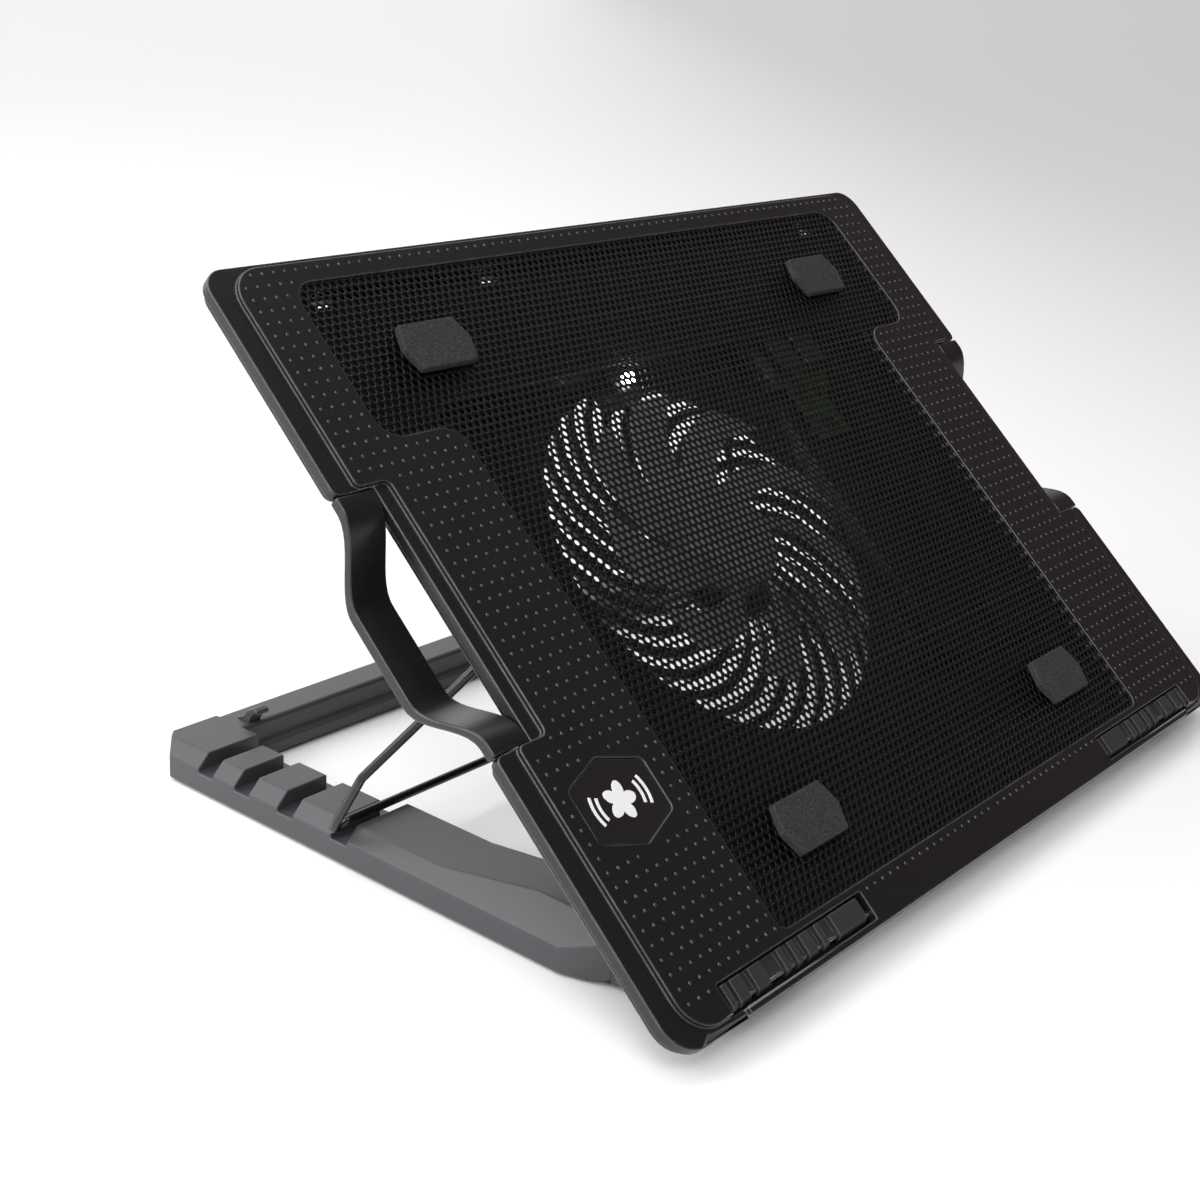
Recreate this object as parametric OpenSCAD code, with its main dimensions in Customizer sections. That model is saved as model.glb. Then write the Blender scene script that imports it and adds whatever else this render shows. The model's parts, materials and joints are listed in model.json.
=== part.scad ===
// Tilting laptop cooling pad: a perforated tray with one large fan, two carrying
// handles and two flip-up stops, hinged at its front to a base frame and propped
// by a wire bail that reaches back to notches in the frame's arms.
// X runs to the right, Y to the rear and Z up. The origin is on the floor, below
// the middle of the object's box.

/* [Tray] */
// Width of the tray, rim to rim
tray_w = 380; // [370:1:470]
// Depth of the tray, front edge to rear edge
tray_d = 280; // [270:1:345]
// Thickness of the cover sheet
cover_t = 2.2; // [1.8:0.1:3]
// Height of the rim's side wall
rim_h = 4; // [3.6:0.1:6]
// Thickness of the rim's skirt wall
skirt_t = 2; // [1.4:0.1:3]
// Corner radius at the front
front_r = 12; // [8:1:20]
// Corner radius at the rear
rear_r = 9; // [6:1:20]
// Height of the dimpled plate above the rim
plate_rise = 1.8; // [1.4:0.1:3]
// Flat rim left outside the dimpled plate
plate_margin = 8.4; // [6:0.2:12]

/* [Grille] */
// Thickness of the perforated sheet
grille_t = 0.8; // [0.6:0.1:1.5]
// How far the sheet lies below the plate
grille_drop = 0.5; // [0.2:0.1:1]
// Width of the ledge under the sheet's edge
grille_ledge = 3; // [2:0.5:5]
// Cover left at each side of the sheet's wide rear part
grille_side = 30.5; // [28:0.5:40]
// Cover left at each side of the sheet's narrow front part
grille_waist = 62.5; // [58:0.5:70]
// Place of the step between the two parts, from the front edge
grille_step_y = 207; // [203:1:215]
// Cover left in front of the sheet
grille_front = 15.5; // [15:0.5:22]
// Cover left behind the sheet
grille_rear = 10.5; // [9:0.5:16]

/* [Lower shell] */
// Total depth of the fan well below the rim's face
well_drop = 21; // [19:0.5:26]
// Wall of the lower shell
shell_t = 2; // [1.4:0.1:2.6]
// Half width of the fan well
well_half = 131; // [122:1:133]
// Front wall of the fan well, from the front edge
well_y0 = 56; // [52:1:62]
// Rear wall of the fan well, from the front edge
well_y1 = 221; // [219:0.5:222]

/* [Fan] */
// Place of the fan, from the tray's middle
fan_x = -23; // [-30:1:-15]
// Place of the fan, from the front edge
fan_y = 143; // [140:1:145]
// Radius over the blades
fan_r = 63; // [50:1:66]
// Radius of the hub
hub_r = 21; // [18:0.5:24]
// Number of blades
blade_n = 9; // [5:1:11]
// Pitch of the blades
blade_pitch = 28; // [20:1:34]
// Outer radius of the spiral air slots
slot_r = 74; // [60:1:74]
// Number of spiral air slots
slot_n = 30; // [18:1:32]
// Width of an air slot
slot_w = 4.6; // [3:0.2:5]
// Radius of the fan's shaft
shaft_r = 1.5; // [1.2:0.1:2]

/* [Handles] */
// Width of a handle's band
handle_w = 16; // [13:0.5:17.5]
// Front seam of a handle, from the front edge
handle_y0 = 100; // [95:1:103]
// Rear seam of a handle, from the front edge
handle_y1 = 193; // [190:1:198]
// How far a handle hangs below the rim
handle_sag = 19.5; // [14:0.5:22]
// Thickness of a handle's band
handle_t = 4; // [3:0.2:5]

/* [Front stops] */
// Length of a stop's well
stop_len = 78; // [60:1:90]
// Outer end of a stop's well, from the side edge
stop_x = 26; // [22:1:40]
// Travel of a stop
stop_turn = 95; // [80:1:95]
// Radius of a stop's pin
stop_pin_r = 0.8; // [0.6:0.1:0.9]

/* [Stance] */
// Tilt of the tray on its steepest notch
tilt = 42.5; // [42:0.5:43]
// Place of the hinge, from the front edge
lug_y = 26.4; // [24:0.2:30]
// Drop of the hinge below the rim's face
lug_drop = 21.5; // [20:0.5:24]
// Height of the hinge above the floor
hinge_z = 12; // [12:0.5:16]
// Radius of a hinge pin
hinge_pin_r = 2.5; // [2:0.1:3.5]

/* [Base frame] */
// Length of the frame behind the hinge
base_len = 228; // [222:1:270]
// Outside of an arm, in from the tray's side
arm_inset = 22; // [20:0.5:24]
// Width of an arm
arm_w = 29; // [27:0.5:30]
// Height of an arm's top above the floor
arm_top = 15; // [12:0.2:15]
// Bevel along an arm's outer edge
arm_bevel = 5; // [3:0.5:6]
// Rise of an arm's top towards the hinge
arm_rise = 4.5; // [0:0.5:5]
// Depth of a wire notch
notch_depth = 6.5; // [4:0.5:7]
// Width of a wire notch
notch_w = 8; // [6:0.5:9]
// Depth of the rear bar, front to back
bar_d = 16; // [12:1:18]
// How far a foot stands out below the frame
foot_proud = 1; // [0.6:0.1:2]
// Radius of a foot
foot_r = 7; // [5:0.5:9]

/* [Prop wire] */
// Radius of the wire
wire_r = 1.6; // [1.2:0.1:1.8]
// Pivot of the wire, behind the hinge along the tray
prop_y = 110.6; // [110:0.2:112]
// Height of the wire's pivot above the hinge's plane
prop_z = 12.5; // [12:0.1:12.8]
// Reach of the wire's cross run behind the hinge
prop_reach = 126; // [124:0.5:127]
// Height of the cross run above the floor
prop_lift = 17.4; // [17.4:0.1:19]
// Bend radius of the wire
bend_r = 2.6; // [2.2:0.1:3]

/* [Clearances] */
// Radial clearance of a turning fit
run_gap = 0.05; // [0.02:0.01:0.1]
// Gap around a piece that drops into a seat
seat_gap = 0.2; // [0.1:0.05:0.4]

/* [Hidden] */
$fn = 48;
SIDES = [-1, 1];
SIDE_NAMES = ["left", "right"];

half_w = tray_w / 2;
flange_t = shell_t;                       // flange of the lower shell
shell_inset = 1.2;                        // shell set in from the rim
floor_z = -well_drop + shell_t;           // inside face of the well's floor
grille_z = plate_rise - grille_drop - grille_t;
pad_t = 3;
pad_w = 32;
pad_d = 18.4;
PAD_PLACES = [[-116, 237], [116, 237], [-88.5, 40.5], [88.5, 40.5]];
PAD_NAMES = ["rear_left_pad", "rear_right_pad", "front_left_pad", "front_right_pad"];

// hinge, in the object's own frame: the tray's foremost edge and the frame's
// rear face are equally far from the origin
front_lip = 0.5;
front_reach = (lug_y - front_lip) * cos(tilt) + (plate_rise + lug_drop) * sin(tilt);
hinge_y = (front_reach - base_len) / 2;

// hinge lugs, outwards from the middle
lug_gap = 0.5;
arm_x1 = half_w - arm_inset;
arm_x0 = arm_x1 - arm_w;
base_lug_x0 = arm_x0 + 11;
base_lug_x1 = arm_x1 - 6;
base_lug_r = 8;
tray_lug_t = 5;
tray_lug_r = 7;
pin_head_t = 1.6;
pin_head_r = hinge_pin_r + 1.4;

// wire notches behind the hinge, rearmost first
notch_lead = 2.5;
NOTCHES = [for (back = [70.8, 50.7, 27.6, 0]) prop_reach + notch_lead + back];

// prop wire in its own plane: across, and down from its pivot
prop_pivot = [prop_y * cos(tilt) - prop_z * sin(tilt), prop_y * sin(tilt) + prop_z * cos(tilt)];
prop_run = [prop_reach, prop_lift - hinge_z];
prop_len = norm(prop_run - prop_pivot);
prop_fall = atan2(prop_pivot[1] - prop_run[1], prop_run[0] - prop_pivot[0]);
prop_pivot_x = arm_x0 + 5.5;
prop_end_x = prop_pivot_x - 11.5;
WIRE = [
    [prop_end_x, 0], [prop_pivot_x, 0], [arm_x1 + 7.7, prop_len * 0.69],
    [arm_x1 + 3.2, prop_len + 7.2], [arm_x1 - 2.6, prop_len]
];

// spiral air slots
slot_inner = hub_r + 8;
slot_arc_r = 41;

// controls, from the tray's middle and front edge
post_h = 2;
board_z = floor_z + post_h;
board_t = 1.6;
board_y1 = well_y1 - shell_t - 0.6;
socket_w = 14.4;
bay_x0 = fan_x + slot_r + 1;              // ridge of the cable bay
board_x1 = well_half - 24;                // clear of the well's corner
bay_room = (board_x1 - bay_x0 - 2 * socket_w) / 26.2;
board_x0 = board_x1 - 2 * socket_w - 11.2 * bay_room;
board_x = (board_x0 + board_x1) / 2;
BOARD = [[board_x - 11, 172], [board_x + 11, 172], [board_x + 11, board_y1 - 20], [board_x1, board_y1 - 20],
         [board_x1, board_y1], [board_x0, board_y1], [board_x0, board_y1 - 20], [board_x - 11, board_y1 - 20]];
SOCKET_X = [for (s = SIDES) board_x + s * (socket_w + 3.6 * bay_room) / 2];
socket_h = 7;
socket_l = 19;

// screws of the covers
SCREWS = [for (s = SIDES, p = [[176, 24], [176, 84], [181, 250], [100, 272], [66, 7]])
    [s * (half_w - (190 - p[0])), p[1]]];
screw_r = 1.3;
screw_head_r = 2.8;
screw_head_t = 1.6;

// shape colours
black_plastic = "#1d1d20";
grey_plastic = "#2b2c30";
black_metal = "#101012";
rubber_grey = "#46474b";

// ---- outlines -----------------------------------------------------------

// Unit vector from a to b
function toward(a, b) = (b - a) / norm(b - a);

// Points of the round corner at p, between its neighbours a and b
function corner(a, p, b, r, n) =
    let (u = toward(p, a), v = toward(p, b), h = acos(u * v) / 2,
         c = p + toward([0, 0], u + v) * r / sin(h),
         s = p + u * r / tan(h) - c, e = p + v * r / tan(h) - c,
         a0 = atan2(s[1], s[0]), d = atan2(e[1], e[0]) - a0,
         turn = d > 180 ? d - 360 : d < -180 ? d + 360 : d)
    [for (i = [0:n]) c + r * [cos(a0 + turn * i / n), sin(a0 + turn * i / n)]];

// Outline through points [x, y, radius], with its corners rounded
function rounded(pts, n = 8) =
    [for (i = [0:len(pts) - 1])
        let (k = len(pts), a = pts[(i + k - 1) % k], p = pts[i], b = pts[(i + 1) % k])
        each (p[2] > 0
            ? corner([a[0], a[1]], [p[0], p[1]], [b[0], b[1]], p[2], n)
            : [[p[0], p[1]]])];

// Right half of an outline and its mirror image
function both_sides(half) =
    concat(half, [for (i = [len(half) - 1:-1:0]) [-half[i][0], half[i][1], half[i][2]]]);

// Tray outline, set in all round
function tray_outline(inset) = rounded(both_sides([
    [half_w - inset, inset, front_r - inset],
    [half_w - inset, handle_y0 - inset, 3],
    [half_w - handle_w - inset, handle_y0 - inset, 0],
    [half_w - handle_w - inset, handle_y1 + inset, 0],
    [half_w - inset, handle_y1 + inset, 3],
    [half_w - inset, tray_d - inset, rear_r]
]));

// Dimpled plate, with a step around each handle and at each front corner
function plate_outline() = rounded(both_sides([
    [half_w - 32.5, front_lip, 0],
    [half_w - 32.5, 3.2, 1],
    [half_w - plate_margin, 3.2, front_r],
    [half_w - plate_margin, handle_y0, 2.5],
    [half_w - handle_w - 5.6, handle_y0, 2.5],
    [half_w - handle_w - 5.6, handle_y1 + 0.5, 2.5],
    [half_w - plate_margin, handle_y1 + 0.5, 2.5],
    [half_w - plate_margin, tray_d - 2.2, 13]
]));

// Perforated sheet, wide at the rear and narrow at the front
function grille_outline(inset) = rounded(both_sides([
    [half_w - grille_waist - inset, grille_front + inset, 4],
    [half_w - grille_waist - inset, grille_step_y + inset, 9],
    [half_w - grille_side - inset, grille_step_y + inset, 9],
    [half_w - grille_side - inset, tray_d - grille_rear - inset, 9]
]));

// Six-sided badge
function badge_outline(inset) = let (w = 17.4 - inset, h = 15 - inset, s = 9 - inset / 2)
    rounded([[w, -s, 2], [w, s, 2], [0, h, 3], [-w, s, 2], [-w, -s, 2], [0, -h, 3]], 4);

// Rectangle with rounded corners, from its low corner to its high one
function box_outline(x0, y0, x1, y1, r) = rounded([[x0, y0, r], [x1, y0, r], [x1, y1, r], [x0, y1, r]], 6);

// ---- frames -------------------------------------------------------------

// Places what is drawn from the hinge, in the floor's directions
module at_hinge() {
    translate([0, hinge_y, hinge_z]) children();
}

// Places what is drawn in the tray's frame: origin at the middle of its front
// edge on the rim's face, Y up the slope
module on_tray() {
    at_hinge() rotate([tilt, 0, 0]) translate([0, -lug_y, lug_drop]) children();
}

// Slab between two heights
module slab(z0, z1, pts) {
    translate([0, 0, z0]) linear_extrude(z1 - z0) polygon(pts);
}

// Profile drawn in Y and Z, extruded along X from x0 to x1
module across(x0, x1) {
    translate([x0, 0, 0]) rotate([90, 0, 90]) linear_extrude(x1 - x0) children();
}

// Cylinder along X from x0 to x1
module rod(x0, x1, r) {
    translate([x0, 0, 0]) rotate([0, 90, 0]) cylinder(h = x1 - x0, r = r);
}

// ---- base frame ---------------------------------------------------------

// Cross section of an arm at its highest: flat inside, bevelled outside
module arm_section() {
    low = foot_proud - hinge_z;
    top = arm_top - hinge_z;
    polygon([[arm_x0, low], [arm_x1, low], [arm_x1, top - arm_bevel],
             [arm_x1 - arm_bevel - arm_rise, top + arm_rise], [arm_x0, top + arm_rise]]);
}

// Side view of an arm: level over the notches, rising to the hinge, and lifted
// off the floor at its front end
module arm_side(front) {
    low = foot_proud - hinge_z;
    top = arm_top - hinge_z;
    polygon([[front, low + 2], [front + 8, low], [base_len, low], [base_len, top], [front + 71, top],
             [front + 34, top + arm_rise], [front + 8, top + arm_rise], [front, top]]);
}

// Arm of the base frame, for the right side
module arm() {
    low = foot_proud - hinge_z;
    top = arm_top - hinge_z;
    front = base_lug_r + 5;
    difference() {
        union() {
            intersection() {
                translate([0, base_len, 0]) rotate([90, 0, 0]) linear_extrude(base_len - front) arm_section();
                across(arm_x0, arm_x1) arm_side(front);
            }
            across(base_lug_x0, base_lug_x1) union() {
                circle(base_lug_r);
                polygon([[0, -base_lug_r], [front + 9, low], [front + 9, top], [0, base_lug_r]]);
            }
        }
        // bore of the hinge
        rod(base_lug_x0 - 1, base_lug_x1 + 1, hinge_pin_r + run_gap);
        // outer corners, cut off at the front and at the rear
        translate([0, 0, low - 1]) linear_extrude(arm_top + arm_rise + 2) {
            polygon([[arm_x1 - 6, front - 1], [arm_x1 + 1, front - 1], [arm_x1 + 1, front + 20]]);
            polygon([[arm_x1 - 9, base_len + 1], [arm_x1 + 1, base_len - 9], [arm_x1 + 1, base_len + 1]]);
        }
        // wire notches, right across the arm
        for (y = NOTCHES)
            translate([arm_x0 - 1, y - notch_w / 2, top - notch_depth]) cube([arm_w + 2, notch_w, notch_depth + 1]);
        // step along the inside of the teeth
        translate([arm_x0 - 1, NOTCHES[3] - notch_w / 2, top - notch_depth])
            cube([6, NOTCHES[0] - NOTCHES[3] + notch_w, notch_depth + 1]);
        // seats of the feet
        for (y = [front + 22, base_len - 22])
            translate([(arm_x0 + arm_x1) / 2, y, low - 1]) cylinder(h = 2.2, r = foot_r + seat_gap);
    }
}

module base_arm(side) {
    color(grey_plastic) at_hinge() mirror([side < 0 ? 1 : 0, 0, 0]) arm();
}

// Rear bar between the arms, with a groove along its inner face
module base_rear_bar() {
    low = foot_proud - hinge_z;
    top = arm_top - hinge_z;
    y0 = base_len - bar_d;
    color(grey_plastic) at_hinge() across(-arm_x0, arm_x0)
        polygon([[y0 - 3, low], [base_len, low], [base_len, top - 2], [base_len - 2, top],
                 [y0 + 1, top], [y0, top - 1], [y0, low + 6], [y0 - 3, low + 5]]);
}

// Front bar between the arms, under the tray
module base_front_bar() {
    low = foot_proud - hinge_z;
    color(grey_plastic) at_hinge() across(-arm_x0, arm_x0)
        polygon([[20, low], [33, low], [33, low + 7], [32, low + 8], [21, low + 8], [20, low + 7]]);
}

module base_feet() {
    low = foot_proud - hinge_z;
    color("#18181a") at_hinge() for (s = SIDES, y = [base_lug_r + 27, base_len - 22])
        translate([s * (arm_x0 + arm_x1) / 2, y, low - foot_proud]) cylinder(h = foot_proud + 1.2, r = foot_r);
}

// Two hooks on the rear bar that keep the folded wire down
module wire_clips() {
    top = arm_top - hinge_z;
    y0 = base_len - bar_d;
    color(grey_plastic) at_hinge() for (s = SIDES)
        across(s * (arm_x0 - 7) - 3, s * (arm_x0 - 7) + 3)
            polygon([[y0 + 9, top], [y0 + 2, top], [y0 + 0.5, top + 3], [y0 - 1.5, top + 4.6], [y0 - 3, top + 4.4],
                     [y0 - 2.6, top + 6], [y0 - 0.5, top + 6.6], [y0 + 2.5, top + 5], [y0 + 5, top + 2.2]]);
}

module hinge_pin(side) {
    x0 = base_lug_x0 - lug_gap - tray_lug_t;
    x1 = base_lug_x1 + lug_gap + tray_lug_t;
    color("silver") at_hinge() mirror([side < 0 ? 1 : 0, 0, 0]) {
        rod(x0 - 0.4, x1 + 0.4, hinge_pin_r);
        rod(x1 + 0.4, x1 + 0.4 + pin_head_t, pin_head_r);
        rod(x0 - 0.4 - pin_head_t, x0 - 0.4, pin_head_r);
    }
}

// ---- tray ---------------------------------------------------------------

// Middle of a front stop's well
function stop_mid() = half_w - stop_x - stop_len / 2;
stop_y0 = 2.9;
stop_y1 = 12.8;
stop_pin_y = 5.4;
stop_pin_z = -0.4;

module top_cover() {
    boss_r = screw_r + 1.9;
    color(black_plastic) on_tray() difference() {
        union() {
            slab(-cover_t, 0, tray_outline(0));
            difference() {
                slab(-rim_h, -cover_t, tray_outline(0));
                slab(-rim_h - 1, -cover_t + 0.01, tray_outline(skirt_t));
            }
            translate([0, 0, -0.5]) linear_extrude(plate_rise + 0.5) polygon(plate_outline());
            for (p = SCREWS) translate([p[0], p[1], -rim_h]) cylinder(h = rim_h - 0.5, r = boss_r);
        }
        slab(grille_z, plate_rise + 1, grille_outline(0));
        slab(-rim_h - 1, grille_z + 1, grille_outline(grille_ledge));
        // badge seat
        translate([-half_w + 33.6, 72.5, 0]) slab(plate_rise - 1.2, plate_rise + 1, badge_outline(0));
        // wells and pin bores of the front stops
        for (s = SIDES) translate([s * stop_mid(), 0, 0]) {
            slab(-rim_h - 1, plate_rise + 1, box_outline(-stop_len / 2, stop_y0, stop_len / 2, stop_y1, 0.6));
            translate([0, stop_pin_y, stop_pin_z]) rod(-stop_len / 2 - 3, stop_len / 2 + 3, stop_pin_r + run_gap);
        }
        // pilot holes of the screws
        for (p = SCREWS) translate([p[0], p[1], -rim_h - 1]) cylinder(h = rim_h + 0.2, r = screw_r + run_gap);
        // seats of the handles' tabs
        for (s = SIDES, y = [handle_y0 - 10, handle_y1])
            translate([s * (half_w - 9) - 5.5, y - 0.2, -rim_h - 1]) cube([11, 10.2, rim_h - cover_t + 1.2]);
    }
}

module mesh_grille() {
    color(black_metal) on_tray() slab(grille_z, grille_z + grille_t, grille_outline(seat_gap));
}

// One spiral air slot
module air_slot() {
    intersection() {
        translate([-slot_r + 4, 0]) rotate(-58) translate([0, slot_arc_r]) difference() {
            circle(slot_arc_r + slot_w / 2);
            circle(slot_arc_r - slot_w / 2);
        }
        difference() {
            circle(slot_r);
            circle(slot_inner);
        }
        translate([-slot_r - 5, -32]) square([slot_r - 8, 62]);
    }
}

// Outline of the fan well, set in by a wall
function well_outline(wall) =
    box_outline(-well_half + wall, well_y0 + wall, well_half - wall, well_y1 - wall, 14 - wall);

// Flange that closes the tray from below, around the fan well
module bottom_cover() {
    color(black_plastic) on_tray() difference() {
        slab(-rim_h - flange_t, -rim_h, tray_outline(shell_inset));
        slab(-rim_h - flange_t - 1, 0, well_outline(shell_t));
        // windows along the rear
        for (x = [-146, -65, 143])
            translate([x - 4, 262.5, -rim_h - flange_t - 1]) cube([8, 2.6, flange_t + 2]);
        // holes of the screws
        for (p = SCREWS) translate([p[0], p[1], -rim_h - flange_t - 1]) cylinder(h = flange_t + 2, r = screw_r + 0.2);
    }
}

// Tub that hangs from the flange and holds the fan
module fan_well() {
    color(black_plastic) on_tray() difference() {
        union() {
            difference() {
                slab(-well_drop, -rim_h - flange_t, well_outline(0));
                slab(floor_z, 0, well_outline(shell_t));
            }
            // seat of the motor
            translate([fan_x, fan_y, floor_z - 0.5]) cylinder(h = 1.5, r = hub_r + 1);
            // ridge around the cable bay, open where the lead passes
            difference() {
                slab(floor_z - 0.5, floor_z + 10, rounded([[bay_x0, well_y1 - 1, 0], [bay_x0, 66, 10],
                    [well_half - 1, 66, 0], [well_half - 1, 68, 0], [bay_x0 + 2, 68, 8], [bay_x0 + 2, well_y1 - 1, 0]]));
                translate([bay_x0 - 4, 186, floor_z + 0.01]) cube([10, 8, 12]);
            }
            // posts of the board
            for (p = [[board_x - 8, 176], [board_x + 8, 176], [board_x0 + 3, board_y1 - 8], [board_x1 - 3, board_y1 - 8]])
                translate([p[0], p[1], floor_z - 0.5]) cylinder(h = post_h + 0.5, r = 2.2);
        }
        // spiral air slots
        translate([fan_x, fan_y, -well_drop - 1]) linear_extrude(shell_t + 1.2)
            for (i = [0:slot_n - 1]) rotate(i * 360 / slot_n) air_slot();
        // mouths of the sockets
        for (x = SOCKET_X)
            translate([x - socket_w / 2 - seat_gap, well_y1 - shell_t - 1, board_z + board_t - seat_gap])
                cube([socket_w + 2 * seat_gap, shell_t + 2, socket_h + 2 * seat_gap]);
    }
}

// Height of a handle's band at y, from the rim's face
function sag_at(y) = let (a = (y - handle_y0 - 4) / 26, b = (handle_y1 - 4 - y) / 28, k = min(a, b, 1))
    k <= 0 ? 0 : -handle_sag * (1 - cos(180 * k)) / 2;

// Band that hangs below the rim as a U, with a tab under the cover at each end
module handle(side) {
    ys = [for (i = [0:40]) handle_y0 + seat_gap + (handle_y1 - handle_y0 - 2 * seat_gap) * i / 40];
    color(black_plastic) on_tray() mirror([side < 0 ? 1 : 0, 0, 0]) {
        across(half_w - handle_w + seat_gap, half_w)
            polygon(concat([for (y = ys) [y, sag_at(y)]], [for (i = [40:-1:0]) [ys[i], sag_at(ys[i]) - handle_t]]));
        for (y = [handle_y0 - 9.6, handle_y1 - 1])
            translate([half_w - 14, y, -rim_h + 0.05]) cube([10, 10.6, rim_h - cover_t - 0.2]);
    }
}

module hinge_bracket(side) {
    x0 = base_lug_x0 - lug_gap - tray_lug_t;
    x1 = base_lug_x1 + lug_gap + tray_lug_t;
    plate_z = -rim_h - flange_t;
    color(black_plastic) on_tray() mirror([side < 0 ? 1 : 0, 0, 0]) difference() {
        union() {
            slab(plate_z - 2.4, plate_z, box_outline(x0, lug_y - 12, x1, lug_y + 18, 3));
            for (x = [x0, x1 - tray_lug_t]) translate([0, lug_y, -lug_drop]) across(x, x + tray_lug_t) union() {
                circle(tray_lug_r);
                polygon([[-tray_lug_r, 0], [tray_lug_r, 0], [tray_lug_r + 4, lug_drop + plate_z - 1],
                         [-tray_lug_r - 4, lug_drop + plate_z - 1]]);
            }
        }
        translate([0, lug_y, -lug_drop]) rod(x0 - 1, x1 + 1, hinge_pin_r + run_gap);
    }
}

// Clip that holds one end of the wire under the tray
module wire_saddle(side) {
    plate_z = -rim_h - flange_t;
    z = -lug_drop + prop_z;
    x0 = prop_end_x + 1.5;
    x1 = prop_pivot_x - bend_r - 1.2;
    saddle_r = plate_z - z;
    color(black_plastic) on_tray() mirror([side < 0 ? 1 : 0, 0, 0]) difference() {
        union() {
            slab(plate_z - 2, plate_z, box_outline(x0, lug_y + prop_y - 13, x1, lug_y + prop_y + 13, 1.5));
            translate([0, lug_y + prop_y, 0]) across(x0, x1) union() {
                translate([0, z]) circle(saddle_r);
                polygon([[-saddle_r, z], [saddle_r, z], [saddle_r + 2, plate_z - 0.5], [-saddle_r - 2, plate_z - 0.5]]);
            }
        }
        translate([0, lug_y + prop_y, z]) rod(x0 - 1, x1 + 1, wire_r + run_gap);
    }
}

module pad(i) {
    w = pad_w / 2;
    d = pad_d / 2;
    color(rubber_grey) on_tray() translate([PAD_PLACES[i][0] * tray_w / 380, PAD_PLACES[i][1], 0])
        slab(grille_z + grille_t, grille_z + grille_t + pad_t,
             rounded([[w - 3, -d, 0.8], [w, 0, 1], [w - 3, d, 0.8], [-w + 3, d, 0.8], [-w, 0, 1], [-w + 3, -d, 0.8]], 3));
}

module badge_plate() {
    color("#141416") on_tray() translate([-half_w + 33.6, 72.5, 0])
        slab(plate_rise - 1.2, plate_rise - 0.5, badge_outline(seat_gap));
}

// Impeller with swept blades and a stroke of moving air at each side
module badge_icon() {
    color("white") on_tray() translate([-half_w + 33.6, 72.5, plate_rise - 0.5]) linear_extrude(0.3) {
        circle(1.6);
        for (i = [0:4]) rotate(72 * i) intersection() {
            translate([3.6, 1.4]) circle(3.6);
            translate([3.6, -1.6]) circle(3.6);
            circle(6.6);
        }
        for (s = SIDES, r = [10, 12.6]) intersection() {
            difference() {
                circle(r);
                circle(r - 1.1);
            }
            polygon([[0, 0], [s * 16, 7], [s * 16, -7]]);
        }
    }
}

module cover_screws() {
    color("#8c8d90") on_tray() for (p = SCREWS) translate([p[0], p[1], 0]) {
        translate([0, 0, -rim_h - flange_t - screw_head_t]) cylinder(h = screw_head_t, r = screw_head_r);
        translate([0, 0, -rim_h - flange_t]) cylinder(h = flange_t + rim_h - 1.2, r = screw_r);
    }
}

// ---- fan ----------------------------------------------------------------

seat_z = floor_z + 1;
rotor_z0 = seat_z + 2.2;
rotor_z1 = -5;
bearing_r = 3;

module on_fan() {
    on_tray() translate([fan_x, fan_y, 0]) children();
}

module fan_motor_base() {
    color("#232427") on_fan() difference() {
        union() {
            translate([0, 0, seat_z]) cylinder(h = 1.8, r = hub_r - 1);
            translate([0, 0, seat_z]) cylinder(h = rotor_z1 - seat_z - 3.4, r = bearing_r + 1.4);
        }
        translate([0, 0, seat_z + 1]) cylinder(h = 20, r = bearing_r);
    }
}

// Laminated core with four poles
module fan_stator() {
    inner = bearing_r + 1.4;
    outer = hub_r - 5.2;
    color("#8a4f2a") on_fan() translate([0, 0, rotor_z0 + 0.4]) linear_extrude(5) difference() {
        union() {
            circle(inner + 3);
            for (i = [0:3]) rotate(90 * i) translate([-3, 0]) square([6, outer - 2]);
            for (i = [0:3]) intersection() {
                difference() {
                    circle(outer);
                    circle(outer - 2.6);
                }
                rotate(90 * i) polygon([[0, 0], [-11, 24], [11, 24]]);
            }
        }
        circle(inner);
    }
}

module fan_bearing() {
    color("#b08d4a") on_fan() translate([0, 0, seat_z + 1]) difference() {
        cylinder(h = rotor_z1 - seat_z - 4.6, r = bearing_r);
        translate([0, 0, 0.8]) cylinder(h = 20, r = shaft_r + run_gap);
    }
}

module fan_shaft() {
    color("silver") on_fan() translate([0, 0, seat_z + 2]) cylinder(h = rotor_z1 - 1.6 - seat_z - 2, r = shaft_r);
}

module fan_magnet() {
    color("#4a4a4e") on_fan() translate([0, 0, rotor_z0 + 0.6]) difference() {
        cylinder(h = 5.4, r = hub_r - 1.6);
        translate([0, 0, -1]) cylinder(h = 8, r = hub_r - 4.2);
    }
}

// Hub cup with its blades
module fan_rotor() {
    color("#26272b") on_fan() {
        difference() {
            translate([0, 0, rotor_z0]) cylinder(h = rotor_z1 - rotor_z0, r = hub_r);
            translate([0, 0, rotor_z0 - 1]) cylinder(h = rotor_z1 - rotor_z0 - 0.6, r = hub_r - 1.6);
        }
        intersection() {
            translate([0, 0, rotor_z0 + 0.2]) difference() {
                cylinder(h = rotor_z1 - rotor_z0 - 0.6, r = fan_r);
                translate([0, 0, -1]) cylinder(h = 30, r = hub_r - 0.6);
            }
            for (i = [0:blade_n - 1]) rotate(360 * i / blade_n) translate([0, 0, (rotor_z0 + rotor_z1) / 2])
                rotate([blade_pitch, 0, 0]) translate([hub_r - 2, -14, -0.6]) cube([fan_r, 28, 1.2]);
        }
    }
}

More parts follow.
